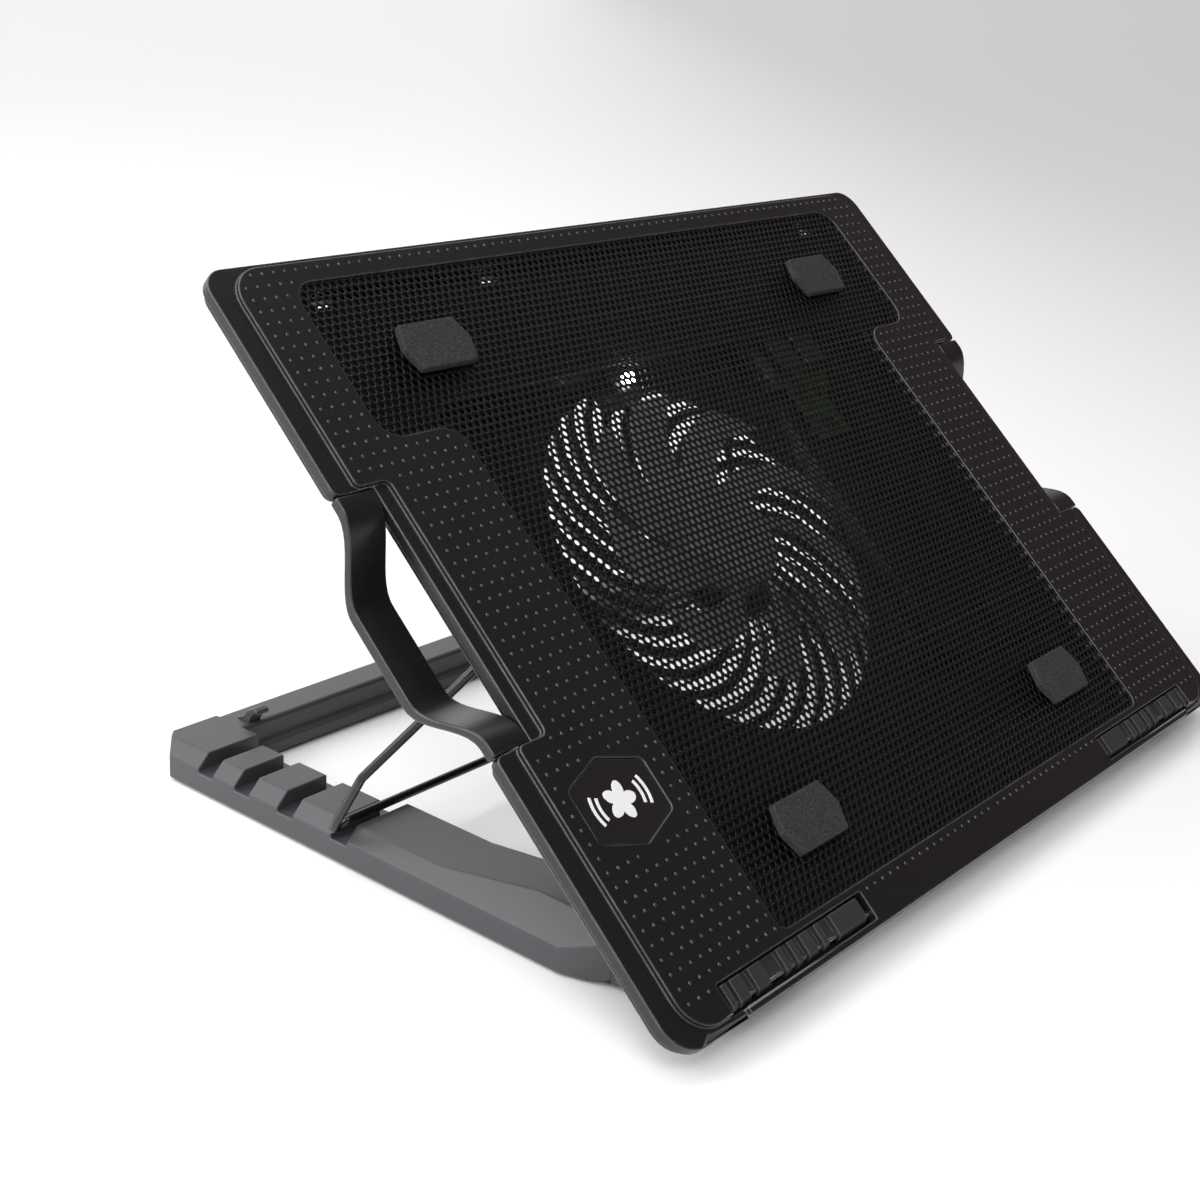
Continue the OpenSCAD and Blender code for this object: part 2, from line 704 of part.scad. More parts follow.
// Flat lead from the motor to the board, through the gap in the ridge
module fan_lead() {
    color("#202022") on_tray() slab(floor_z + 0.02, floor_z + 1, [[fan_x + hub_r + 1.6, 152], [30, 188.6], [board_x - 9, 188.6],
        [board_x - 9, 191.4], [28.4, 191.4], [fan_x + hub_r + 1.6, 156]]);
}

led_place = [-25, 213];

module led_holder() {
    color("#141416") on_tray() translate([led_place[0], led_place[1], 0]) difference() {
        slab(floor_z, -7, box_outline(-8, -6, 8, 5, 1.5));
        translate([0, 0, -9]) cylinder(h = 4, r = 2.5);
    }
}

module led_lamp() {
    color("#dfe9f5") on_tray() translate([led_place[0], led_place[1], 0]) {
        translate([0, 0, -9]) cylinder(h = 3.4, r = 2.4);
        translate([0, 0, -5.6]) intersection() {
            sphere(2.4);
            translate([0, 0, 5]) cube(10, center = true);
        }
    }
}

// ---- controls -----------------------------------------------------------

module control_board() {
    color("#2f5a3a") on_tray() {
        slab(board_z, board_z + board_t, BOARD);
        translate([board_x - 6, 180, board_z + board_t]) cube([10, 8, 1.4]);
        translate([board_x + 5, 193, board_z + board_t]) cylinder(h = 6, r = 2.6);
    }
}

// Socket shell with its contact tongue
module usb_socket(i) {
    color("silver") on_tray() translate([SOCKET_X[i], 0, board_z + board_t]) {
        difference() {
            translate([-socket_w / 2, well_y1 - socket_l, 0]) cube([socket_w, socket_l, socket_h]);
            translate([-socket_w / 2 + 0.6, well_y1 - socket_l + 2, 0.6]) cube([socket_w - 1.2, socket_l, socket_h - 1.2]);
        }
        translate([-5.6, well_y1 - socket_l + 1, 0.5]) cube([11.2, 11, 1.7]);
    }
}

// ---- front stops --------------------------------------------------------

// Blocks along a stop, from its outer end: start and width
STOP_BLOCKS = [[1.4, 2.2], [5.6, 5], [14.7, 6.1], [29.5, 2.6], [35.6, 2.6], [41.7, 4.7], [50, 2.6], [58.6, 15.4]];

module stop_flap(side) {
    k = stop_len / 78;
    color(grey_plastic) on_tray() mirror([side < 0 ? 1 : 0, 0, 0]) translate([half_w - stop_x, 0, 0]) difference() {
        union() {
            across(-stop_len + 1.2, -1.2)
                polygon([[stop_pin_y - 0.6, -1.9], [stop_y1 - 0.8, -1.9], [stop_y1 - 0.8, -0.3], [stop_pin_y - 0.6, -0.3]]);
            for (b = STOP_BLOCKS) across(-(b[0] + b[1]) * k, -b[0] * k) union() {
                translate([stop_pin_y, stop_pin_z]) circle(1.7);
                polygon([[stop_pin_y, -2.1], [stop_y1 - 0.8, -1.9], [stop_y1 - 0.8, plate_rise - 0.2],
                         [stop_pin_y - 0.4, plate_rise - 0.2], [stop_pin_y - 1, plate_rise - 0.9], [stop_pin_y - 1, 0]]);
            }
        }
        translate([0, stop_pin_y, stop_pin_z]) rod(-stop_len, 0, stop_pin_r + run_gap);
    }
}

module stop_pin(side) {
    color("silver") on_tray() mirror([side < 0 ? 1 : 0, 0, 0])
        translate([half_w - stop_x, stop_pin_y, stop_pin_z]) rod(-stop_len - 2.5, 2.5, stop_pin_r);
}

// ---- prop wire ----------------------------------------------------------

// Centre line of the wire, in its own plane, with each corner bent round
function wire_line() =
    let (pts = concat(WIRE, [for (i = [len(WIRE) - 1:-1:0]) [-WIRE[i][0], WIRE[i][1]]]), n = len(pts))
    [for (i = [0:n - 1]) each (i == 0 || i == n - 1 ? [pts[i]] : corner(pts[i - 1], pts[i], pts[i + 1], bend_r, 5))];

// Ring of points round the line at point i, mitred to both neighbours
function wire_ring(line, i, sides) =
    let (n = len(line),
         u = i == 0 ? toward(line[0], line[1]) : toward(line[i - 1], line[i]),
         v = i == n - 1 ? u : toward(line[i], line[i + 1]),
         t = toward([0, 0], u + v),
         m = [-t[1], t[0]] / sqrt((1 + u * v) / 2))
    [for (k = [0:sides - 1]) let (a = 360 * k / sides)
        [line[i][0] + wire_r * cos(a) * m[0], line[i][1] + wire_r * cos(a) * m[1], wire_r * sin(a)]];

module prop_wire() {
    line = wire_line();
    n = len(line);
    sides = 16;
    walls = [for (i = [0:n - 2], k = [0:sides - 1]) let (j = (k + 1) % sides)
        [i * sides + k, i * sides + j, (i + 1) * sides + j, (i + 1) * sides + k]];
    caps = [[for (k = [sides - 1:-1:0]) k], [for (k = [0:sides - 1]) (n - 1) * sides + k]];
    color("#0c0c0d") at_hinge() translate([0, prop_pivot[0], prop_pivot[1]]) rotate([-prop_fall, 0, 0])
        polyhedron([for (i = [0:n - 1]) each wire_ring(line, i, sides)], concat(walls, caps), convexity = 6);
}

// ---- nodes --------------------------------------------------------------

base_arm(-1);  // base_left_arm
base_arm(1);  // base_right_arm
base_rear_bar();
base_front_bar();
base_feet();
wire_clips();
hinge_pin(-1);  // left_hinge_pin
hinge_pin(1);  // right_hinge_pin
top_cover();
mesh_grille();
bottom_cover();
fan_well();
handle(-1);  // left_handle
handle(1);  // right_handle
hinge_bracket(-1);  // left_hinge_bracket
hinge_bracket(1);  // right_hinge_bracket
wire_saddle(-1);  // left_wire_saddle
wire_saddle(1);  // right_wire_saddle
for (i = [0:3]) pad(i);
badge_plate();
badge_icon();
cover_screws();
fan_motor_base();
fan_stator();
fan_bearing();
fan_lead();
led_holder();
led_lamp();
control_board();
usb_socket(0);  // left_usb_socket
usb_socket(1);  // right_usb_socket
fan_rotor();
fan_magnet();
fan_shaft();
stop_flap(-1);  // left_stop
stop_pin(-1);  // left_stop_pin
stop_flap(1);  // right_stop
stop_pin(1);  // right_stop_pin
prop_wire();
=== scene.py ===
"""Tilting laptop cooling pad: the finish of every piece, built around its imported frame."""

import json
import math

import bmesh
import bpy
from mathutils import Matrix, Vector
from mathutils.bvhtree import BVHTree


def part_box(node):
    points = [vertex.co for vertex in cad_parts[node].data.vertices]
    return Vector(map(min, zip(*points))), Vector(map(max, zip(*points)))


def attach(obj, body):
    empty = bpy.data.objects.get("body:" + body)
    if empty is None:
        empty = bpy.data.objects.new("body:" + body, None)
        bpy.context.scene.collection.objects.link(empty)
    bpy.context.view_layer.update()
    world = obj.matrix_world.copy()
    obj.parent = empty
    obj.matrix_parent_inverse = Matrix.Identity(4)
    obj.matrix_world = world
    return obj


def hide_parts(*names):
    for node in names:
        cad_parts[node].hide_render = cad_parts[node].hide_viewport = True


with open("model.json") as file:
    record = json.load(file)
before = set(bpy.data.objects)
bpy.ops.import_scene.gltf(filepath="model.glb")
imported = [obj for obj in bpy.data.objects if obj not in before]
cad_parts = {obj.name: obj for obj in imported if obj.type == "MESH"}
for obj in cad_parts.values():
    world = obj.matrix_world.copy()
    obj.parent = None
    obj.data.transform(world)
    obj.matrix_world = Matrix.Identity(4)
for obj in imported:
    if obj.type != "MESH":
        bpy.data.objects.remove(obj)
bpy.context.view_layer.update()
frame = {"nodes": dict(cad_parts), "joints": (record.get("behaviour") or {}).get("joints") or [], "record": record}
nodes = frame["nodes"]
joints = {j["name"]: j for j in frame["joints"]}
mounts = {m["name"]: m for m in frame["record"]["mounts"]}
MM = 0.001

# The tray's own directions: X across, Y up the slope from the front edge and Z out
# of the cover, in millimetres from the middle of the front edge on the rim's face.
LUG_Y = 26.4                                    # tilt axis, behind the front edge
LUG_DROP = 21.5                                 # tilt axis, below the rim's face
PLATE_Z = 1.8                                   # top of the raised plate
hinge = Vector(joints["tray_tilt"]["pos_m"])
face = Vector(mounts["laptop_rest"]["axis"])
slope = math.atan2(-face.y, face.z)
TRAY = (Matrix.Translation(hinge) @ Matrix.Rotation(slope, 4, "X") @ Matrix.Scale(MM, 4)
        @ Matrix.Translation((0, -LUG_Y, LUG_DROP)))
TO_TRAY = TRAY.inverted()
HALF_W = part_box("top_cover")[1].x / MM
FAN = TO_TRAY @ Vector(joints["fan_spin"]["pos_m"])
FAN_PLACE = TRAY @ Matrix.Translation((FAN.x, FAN.y, 0))


# ---- camera, lights and ground ---------------------------------------------

def make_camera():
    """Long view from the front left, a little above the tray."""
    data = bpy.data.cameras.new("camera")
    data.lens = 54.59
    data.shift_x = 0.0499
    data.shift_y = -0.0502
    data.clip_start = 0.01
    camera = bpy.data.objects.new("camera", data)
    camera.location = (-0.5500, -0.3751, 0.3016)
    camera.rotation_euler = [math.radians(a) for a in (71.865, -2.646, -48.855)]
    bpy.context.scene.collection.objects.link(camera)
    bpy.context.scene.camera = camera


def area_light(name, place, target, size, watts):
    """Soft rectangular light at place that faces target."""
    data = bpy.data.lights.new(name, "AREA")
    data.shape = "RECTANGLE"
    data.size, data.size_y = size
    data.energy = watts
    light = bpy.data.objects.new(name, data)
    light.location = place
    light.rotation_euler = (Vector(target) - Vector(place)).to_track_quat("-Z", "Y").to_euler()
    bpy.context.scene.collection.objects.link(light)


def make_world():
    """Room that is bright to the left and behind and dim to the right, with a plain pale backdrop."""
    world = bpy.data.worlds.new("room")
    bpy.context.scene.world = world
    world.use_nodes = True
    tree = world.node_tree
    tree.nodes.clear()
    across = towards(tree, Vector((-0.62, 0.78, 0.10)).normalized())
    ramp = tree.nodes.new("ShaderNodeValToRGB")
    stops = [(0.0, (0.072, 0.055, 0.053)), (0.28, (0.102, 0.085, 0.082)), (0.44, (0.44, 0.43, 0.43)),
             (0.58, (0.88, 0.88, 0.885)), (1.0, (1.0, 1.0, 1.01))]
    points = ramp.color_ramp.elements
    while len(points) < len(stops):
        points.new(0.5)
    for point, (place, level) in zip(points, stops):
        point.position = place
        point.color = (*level, 1)
    tree.links.new(rescaled(tree, across, 0, 1, start=-1), ramp.inputs["Fac"])
    room = tree.nodes.new("ShaderNodeBackground")
    room.inputs["Strength"].default_value = 1.55
    tree.links.new(ramp.outputs["Color"], room.inputs["Color"])
    backdrop = tree.nodes.new("ShaderNodeBackground")
    backdrop.inputs["Color"].default_value = (0.84, 0.84, 0.845, 1)
    seen = tree.nodes.new("ShaderNodeLightPath")
    either = tree.nodes.new("ShaderNodeMixShader")
    tree.links.new(seen.outputs["Is Camera Ray"], either.inputs["Fac"])
    tree.links.new(room.outputs["Background"], either.inputs[1])
    tree.links.new(backdrop.outputs["Background"], either.inputs[2])
    out = tree.nodes.new("ShaderNodeOutputWorld")
    tree.links.new(either.outputs["Shader"], out.inputs["Surface"])


FLOOR_HALF = 60                                 # metres, so that no edge is seen
FLOOR_DROP = 0.0002                             # keeps the floor clear of the feet's undersides


def make_floor():
    """Pale paper, its colour darkened a little to the right and in front as painted shade where the light falls
    off.
    """
    bm = bmesh.new()
    bmesh.ops.create_grid(bm, x_segments=1, y_segments=1, size=FLOOR_HALF,
                          matrix=Matrix.Translation((0, 0, -FLOOR_DROP)))
    ground = scratch(bm)
    ground.name = ground.data.name = "ground"
    tree, shader = new_material("ground_paper", colour=(0.90, 0.90, 0.905), roughness=0.62)
    painted_falloff = rescaled(tree, towards(tree, (0.66, -0.75, 0)), 0, 1, start=-0.30, end=0.85, smooth=True)
    # Painted shade: the paper's colour goes from pale to grey towards the right and the front.
    shade = mix_colour(tree, painted_falloff, (0.92, 0.92, 0.92), (0.640, 0.628, 0.632))
    tree.links.new(shade, shader.inputs["Base Color"])
    ground.data.materials.append(FINISH["ground_paper"])


# ---- materials --------------------------------------------------------------

FINISH = {}


def new_material(name, colour=(0.5, 0.5, 0.5), roughness=0.5, metallic=0.0, coat=0.0, specular=0.5):
    """A material with its Principled shader, as (node tree, shader)."""
    material = FINISH[name] = bpy.data.materials.new(name + "_finish")
    material.use_nodes = True
    shader = material.node_tree.nodes["Principled BSDF"]
    shader.inputs["Base Color"].default_value = (*colour, 1)
    shader.inputs["Roughness"].default_value = roughness
    shader.inputs["Metallic"].default_value = metallic
    shader.inputs["Coat Weight"].default_value = coat
    shader.inputs["Coat Roughness"].default_value = 0.12
    shader.inputs["Specular IOR Level"].default_value = specular
    return material.node_tree, shader


def feed(tree, socket, value):
    """Links value to the socket if it is one itself, and sets it otherwise."""
    if isinstance(value, bpy.types.NodeSocket):
        tree.links.new(value, socket)
    else:
        socket.default_value = value


def own_coordinates(tree):
    return tree.nodes.new("ShaderNodeTexCoord").outputs["Object"]


def noise(tree, scale, detail=2.0, roughness=0.5):
    """Noise on the piece's own coordinates, a number from 0 to 1."""
    texture = tree.nodes.new("ShaderNodeTexNoise")
    texture.inputs["Detail"].default_value = detail
    texture.inputs["Roughness"].default_value = roughness
    feed(tree, texture.inputs["Scale"], scale)
    tree.links.new(own_coordinates(tree), texture.inputs["Vector"])
    return texture.outputs["Fac"]


def towards(tree, direction):
    """How far a point lies in one direction."""
    dot = tree.nodes.new("ShaderNodeVectorMath")
    dot.operation = "DOT_PRODUCT"
    dot.inputs[1].default_value = direction
    tree.links.new(own_coordinates(tree), dot.inputs[0])
    return dot.outputs["Value"]


def rescaled(tree, value, low, high, start=0.0, end=1.0, smooth=False):
    """The range from start to end of value, turned into the range from low to high."""
    span = tree.nodes.new("ShaderNodeMapRange")
    span.interpolation_type = "SMOOTHSTEP" if smooth else "LINEAR"
    for label, level in (("From Min", start), ("From Max", end), ("To Min", low), ("To Max", high)):
        span.inputs[label].default_value = level
    tree.links.new(value, span.inputs["Value"])
    return span.outputs["Result"]


def mix_colour(tree, factor, low, high):
    """Colour between low and high; either may be a socket."""
    mix = tree.nodes.new("ShaderNodeMix")
    mix.data_type = "RGBA"
    tree.links.new(factor, mix.inputs[0])
    for socket, value in ((mix.inputs[6], low), (mix.inputs[7], high)):
        feed(tree, socket, value if isinstance(value, bpy.types.NodeSocket) else (*value, 1))
    return mix.outputs[2]


def new_group(name, inputs, outputs):
    """A shader node group with number inputs and the named outputs."""
    group = bpy.data.node_groups.new(name, "ShaderNodeTree")
    for label, value in inputs.items():
        socket = group.interface.new_socket(label, in_out="INPUT", socket_type="NodeSocketFloat")
        socket.default_value = value
    for label, kind in outputs.items():
        group.interface.new_socket(label, in_out="OUTPUT", socket_type=kind)
    return group, group.nodes.new("NodeGroupInput"), group.nodes.new("NodeGroupOutput")


def maths(tree, operation, a, b):
    """One sum on two numbers; each may be a socket."""
    node = tree.nodes.new("ShaderNodeMath")
    node.operation = operation
    for socket, value in zip(node.inputs, (a, b)):
        feed(tree, socket, value)
    return node.outputs[0]


GRAIN_HEIGHT = 0.00012                          # metres


def make_grain_group():
    """Spark-eroded mould grain: a bump, its specks, and a slow change of tone across the piece."""
    group, given, made = new_group("mould_grain", {"Scale": 2600, "Depth": 0.3, "Cloud Scale": 22},
                                   {"Normal": "NodeSocketVector", "Tone": "NodeSocketFloat",
                                    "Speck": "NodeSocketFloat"})
    link = group.links.new
    fine = noise(group, given.outputs["Scale"])
    bump = group.nodes.new("ShaderNodeBump")
    bump.inputs["Distance"].default_value = GRAIN_HEIGHT
    link(given.outputs["Depth"], bump.inputs["Strength"])
    link(fine, bump.inputs["Height"])
    link(bump.outputs["Normal"], made.inputs["Normal"])
    link(noise(group, given.outputs["Cloud Scale"], detail=5), made.inputs["Tone"])
    link(fine, made.inputs["Speck"])
    return group


WEAR_AND_HIGHLIGHT_PATCH = 160                                # how broken up the worn edges and their painted highlight are


def make_wear_and_highlight_group():
    """Mask of the edges that hands and bags have polished, which also lightens their colour as a painted
    highlight.
    """
    group, given, made = new_group("edge_wear_and_highlight", {"Width": 0.0006, "Gain": 11.0},
                                   {"Mask": "NodeSocketFloat"})
    link = group.links.new
    soft = group.nodes.new("ShaderNodeBevel")
    soft.samples = 4
    link(given.outputs["Width"], soft.inputs["Radius"])
    shape = group.nodes.new("ShaderNodeNewGeometry")
    dot = group.nodes.new("ShaderNodeVectorMath")
    dot.operation = "DOT_PRODUCT"
    link(soft.outputs["Normal"], dot.inputs[0])
    link(shape.outputs["Normal"], dot.inputs[1])
    gap = maths(group, "SUBTRACT", 1.0, dot.outputs["Value"])
    strong = maths(group, "MULTIPLY", gap, given.outputs["Gain"])
    broken = maths(group, "MULTIPLY", strong, noise(group, WEAR_AND_HIGHLIGHT_PATCH))
    clear = group.nodes.new("ShaderNodeClamp")
    link(broken, clear.inputs["Value"])
    link(clear.outputs["Result"], made.inputs["Mask"])
    return group


def use_group(tree, group, **values):
    """The group placed in a material, with its own values."""
    node = tree.nodes.new("ShaderNodeGroup")
    node.node_tree = group
    for label, value in values.items():
        node.inputs[label.replace("_", " ")].default_value = value
    return node


EDGE_POLISH = 0.14                              # roughness that a worn edge has lost


def moulded_plastic(name, dark, light, edge, rough, grain=2600, depth=0.3, cloud=22, specular=0.5):
    """Grained plastic: clouded tone, polished edges whose colour is lightened as a painted highlight, and a fine
    mould grain.
    """
    tree, shader = new_material(name, dark, rough[0], specular=specular)
    skin = use_group(tree, GRAIN, Scale=grain, Depth=depth, Cloud_Scale=cloud)
    wear_and_highlight = use_group(tree, WEAR_AND_HIGHLIGHT)
    tone = mix_colour(tree, skin.outputs["Tone"], dark, light)
    # Rounded edges take the lighter edge colour: partly wear, partly a painted highlight.
    colour = mix_colour(tree, wear_and_highlight.outputs["Mask"], tone, edge)
    tree.links.new(colour, shader.inputs["Base Color"])
    gloss = rescaled(tree, skin.outputs["Speck"], *rough)
    worn = maths(tree, "MULTIPLY", wear_and_highlight.outputs["Mask"], -EDGE_POLISH)
    tree.links.new(maths(tree, "ADD", gloss, worn), shader.inputs["Roughness"])
    tree.links.new(skin.outputs["Normal"], shader.inputs["Normal"])


def lacquered_metal(name, colour, roughness, coat, specular=0.5):
    """Gloss coating that has run a little, with fine dust in it."""
    tree, shader = new_material(name, colour, roughness, coat=coat, specular=specular)
    skin = use_group(tree, GRAIN, Scale=900, Depth=0.08, Cloud_Scale=60)
    gloss = rescaled(tree, skin.outputs["Tone"], roughness * 0.75, roughness * 1.35)
    tree.links.new(gloss, shader.inputs["Roughness"])
    tree.links.new(skin.outputs["Normal"], shader.inputs["Normal"])
    shade = mix_colour(tree, skin.outputs["Speck"], colour, [c * 1.7 for c in colour])
    tree.links.new(shade, shader.inputs["Base Color"])


def speckled_rubber(name, dark, light, rough):
    """Matt rubber with pale filler specks and a coarse skin."""
    tree, shader = new_material(name, dark, rough, specular=0.3)
    skin = use_group(tree, GRAIN, Scale=1500, Depth=0.75, Cloud_Scale=70)
    speck = tree.nodes.new("ShaderNodeValToRGB")
    speck.color_ramp.elements[0].position = 0.42
    speck.color_ramp.elements[1].position = 0.68
    tree.links.new(skin.outputs["Speck"], speck.inputs["Fac"])
    colour = mix_colour(tree, speck.outputs["Color"], dark, light)
    tree.links.new(colour, shader.inputs["Base Color"])
    tree.links.new(skin.outputs["Normal"], shader.inputs["Normal"])


def bare_metal(name, colour, roughness):
    """Turned or tinned metal, with fine marks across it."""
    tree, shader = new_material(name, colour, roughness, metallic=1.0)
    skin = use_group(tree, GRAIN, Scale=700, Depth=0.15, Cloud_Scale=120)
    shade = mix_colour(tree, skin.outputs["Tone"], [c * 0.72 for c in colour], colour)
    tree.links.new(shade, shader.inputs["Base Color"])
    gloss = rescaled(tree, skin.outputs["Speck"], roughness * 0.7, roughness * 1.5)
    tree.links.new(gloss, shader.inputs["Roughness"])
    tree.links.new(skin.outputs["Normal"], shader.inputs["Normal"])


def circuit_board(name):
    """Green solder mask over copper tracks."""
    tree, shader = new_material(name, (0.03, 0.11, 0.045), 0.3, coat=0.4)
    track = tree.nodes.new("ShaderNodeTexBrick")
    track.inputs["Scale"].default_value = 180
    track.inputs["Color1"].default_value = (0.022, 0.085, 0.035, 1)
    track.inputs["Color2"].default_value = (0.030, 0.105, 0.042, 1)
    track.inputs["Mortar"].default_value = (0.060, 0.170, 0.060, 1)
    track.inputs["Mortar Size"].default_value = 0.06
    tree.links.new(own_coordinates(tree), track.inputs["Vector"])
    tree.links.new(track.outputs["Color"], shader.inputs["Base Color"])


def glowing_lens(name):
    """Lit white lamp, a little blue in places."""
    tree, shader = new_material(name, (0.85, 0.9, 0.95), 0.15, coat=0.6)
    tone = noise(tree, scale=900, roughness=0.55)
    glow = mix_colour(tree, tone, (0.80, 0.90, 1.0), (1.0, 1.0, 1.0))
    tree.links.new(glow, shader.inputs["Emission Color"])
    shader.inputs["Emission Strength"].default_value = 22.0


def make_materials():
    """Every finish: for plastic the dark and light tone, the worn edge colour that is also a painted highlight,
    and the range of roughness.
    """
    moulded_plastic("shell_plastic", (0.0060, 0.0055, 0.0057), (0.0100, 0.0090, 0.0093),
                    (0.24, 0.24, 0.26), rough=(0.24, 0.33), depth=0.2)
    moulded_plastic("frame_plastic", (0.034, 0.0355, 0.039), (0.048, 0.050, 0.054),
                    (0.15, 0.155, 0.165), rough=(0.38, 0.48), depth=0.35)
    moulded_plastic("stop_plastic", (0.018, 0.0185, 0.0195), (0.028, 0.0285, 0.030),
                    (0.10, 0.10, 0.11), rough=(0.45, 0.58), grain=1900)
    # Painted light: the fan plastic is made a light grey that stands in for the LED's light on the blades.
    moulded_plastic("fan_plastic", (0.25, 0.25, 0.255), (0.33, 0.33, 0.335),
                    (0.42, 0.42, 0.42), rough=(0.28, 0.36), grain=1500, depth=0.10)
    moulded_plastic("badge_gloss", (0.010, 0.0092, 0.0092), (0.014, 0.0125, 0.0125),
                    (0.06, 0.06, 0.06), rough=(0.16, 0.24), depth=0.04)
    moulded_plastic("badge_white", (0.80, 0.80, 0.79), (0.88, 0.88, 0.87),
                    (0.9, 0.9, 0.9), rough=(0.35, 0.45), depth=0.1)
    moulded_plastic("lead_jacket", (0.015, 0.015, 0.016), (0.022, 0.022, 0.023),
                    (0.04, 0.04, 0.04), rough=(0.5, 0.6))
    moulded_plastic("magnet_ferrite", (0.05, 0.05, 0.052), (0.075, 0.075, 0.078),
                    (0.10, 0.10, 0.10), rough=(0.55, 0.75), grain=1200, depth=0.6)
    lacquered_metal("grille_metal", (0.0026, 0.0024, 0.0023), 0.24, coat=0.0, specular=0.22)
    lacquered_metal("wire_black", (0.005, 0.005, 0.0055), 0.13, coat=0.0, specular=0.38)
    lacquered_metal("screw_steel", (0.06, 0.06, 0.063), 0.32, coat=0.2)
    speckled_rubber("pad_rubber", (0.019, 0.0192, 0.0198), (0.050, 0.050, 0.051), 0.80)
    speckled_rubber("foot_rubber", (0.012, 0.012, 0.0125), (0.026, 0.026, 0.027), 0.8)
    bare_metal("pin_steel", (0.55, 0.55, 0.56), 0.25)
    bare_metal("socket_steel", (0.60, 0.60, 0.60), 0.22)
    bare_metal("bearing_brass", (0.60, 0.42, 0.18), 0.35)
    bare_metal("winding_copper", (0.62, 0.30, 0.13), 0.30)
    circuit_board("board_green")
    glowing_lens("led_lens")


# ---- making pieces ----------------------------------------------------------

def piece(name, bm, body, slot, place=None, stands_for=()):
    """A finished piece from bm, riding on a body and taking its finish from a slot."""
    if place is not None:
        bm.transform(place)
    mesh = bpy.data.meshes.new(name)
    bm.to_mesh(mesh)
    bm.free()
    mesh.shade_smooth()
    mesh.materials.append(FINISH[slot])
    made = bpy.data.objects.new(name, mesh)
    bpy.context.scene.collection.objects.link(made)
    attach(made, body)
    if stands_for:
        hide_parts(*stands_for)
    return made


def ease(made, width, segments=3, angle=32):
    """Rounds the sharp edges by width, in millimetres, and keeps the flats flat."""
    bevel = made.modifiers.new("eased_edges", "BEVEL")
    bevel.width = width * MM
    bevel.segments = segments
    bevel.limit_method = "ANGLE"
    bevel.angle_limit = math.radians(angle)
    bevel.use_clamp_overlap = False
    bevel.loop_slide = False
    even(made)
    return made


def even(made):
    """Shades the large faces flat and the narrow ones smooth."""
    weighted = made.modifiers.new("even_shading", "WEIGHTED_NORMAL")
    weighted.weight = 80
    weighted.keep_sharp = True
    return made


def baked(made):
    """The mesh of an object with its modifiers applied; the object is removed."""
    bpy.context.view_layer.update()
    mesh = bpy.data.meshes.new_from_object(made.evaluated_get(bpy.context.evaluated_depsgraph_get()))
    bpy.data.objects.remove(made)
    bm = bmesh.new()
    bm.from_mesh(mesh)
    bpy.data.meshes.remove(mesh)
    return bm


def scratch(bm):
    """A plain object that holds bm for a while."""
    mesh = bpy.data.meshes.new("scratch")
    bm.to_mesh(mesh)
    bm.free()
    made = bpy.data.objects.new("scratch", mesh)
    bpy.context.scene.collection.objects.link(made)
    return made


def combined(bm, operation, *others):
    """bm united with, or cut by, the other meshes."""
    first = scratch(bm)
    helpers = [scratch(other) for other in others]
    for helper in helpers:
        step = first.modifiers.new("step", "BOOLEAN")
        step.operation = operation
        step.solver = "EXACT"
        step.object = helper
    made = baked(first)
    for helper in helpers:
        bpy.data.objects.remove(helper)
    return made


def cad_copy(*names):
    """Copy of CAD nodes with their loose triangles merged into whole faces."""
    bm = bmesh.new()
    for name in names:
        bm.from_mesh(nodes[name].data)
    bmesh.ops.remove_doubles(bm, verts=bm.verts, dist=2e-6)
    tidy_faces(bm)
    return bm


def tidy_faces(bm):
    """Pairs of triangles in one plane become four-sided faces."""
    bmesh.ops.join_triangles(bm, faces=bm.faces, angle_face_threshold=0.01, angle_shape_threshold=3.1)


def turned(profile, steps=48):
    """Shape turned about Z from points (radius, height); an end off the axis is left open."""
    bm = bmesh.new()
    verts = [bm.verts.new((r, 0, z)) for r, z in profile]
    edges = [bm.edges.new(pair) for pair in zip(verts, verts[1:])]
    bmesh.ops.spin(bm, geom=verts + edges, cent=(0, 0, 0), axis=(0, 0, 1), angle=math.tau,
                   steps=steps, use_merge=True)
    bmesh.ops.remove_doubles(bm, verts=bm.verts, dist=1e-4)
    bmesh.ops.recalc_face_normals(bm, faces=bm.faces)
    return bm


def block(low, high, bevel=0.2):
    """Box with eased edges between two corners."""
    bm = bmesh.new()
    low, high = Vector(low), Vector(high)
    size = high - low
    bmesh.ops.create_cube(bm, size=1)
    bmesh.ops.transform(bm, verts=bm.verts, matrix=Matrix.Translation((low + high) / 2)
                        @ Matrix.Diagonal((*size, 1)))
    bmesh.ops.bevel(bm, geom=bm.edges, offset=bevel, affect="EDGES", segments=2, profile=0.5,
                    material=-1)
    return bm


def joined(parts):
    """One bmesh from several."""
    bm = bmesh.new()
    for part in parts:
        mesh = bpy.data.meshes.new("part")
        part.to_mesh(mesh)
        part.free()
        bm.from_mesh(mesh)
        bpy.data.meshes.remove(mesh)
    return bm


def islands(name, place=None):
    """(low, high) corners of each separate solid of a CAD node, in millimetres."""
    bm = bmesh.new()
    bm.from_mesh(nodes[name].data)
    bm.transform(Matrix.Scale(1 / MM, 4) if place is None else place)
    bmesh.ops.remove_doubles(bm, verts=bm.verts, dist=1e-3)
    seen, found = set(), []
    for start in bm.verts:
        if start in seen:
            continue
        seen.add(start)
        waiting, group = [start], []
        while waiting:
            vert = waiting.pop()
            group.append(vert.co.copy())
            for edge in vert.link_edges:
                other = edge.other_vert(vert)
                if other not in seen:
                    seen.add(other)
                    waiting.append(other)
        found.append((Vector(map(min, *group)), Vector(map(max, *group))))
    bm.free()
    return found


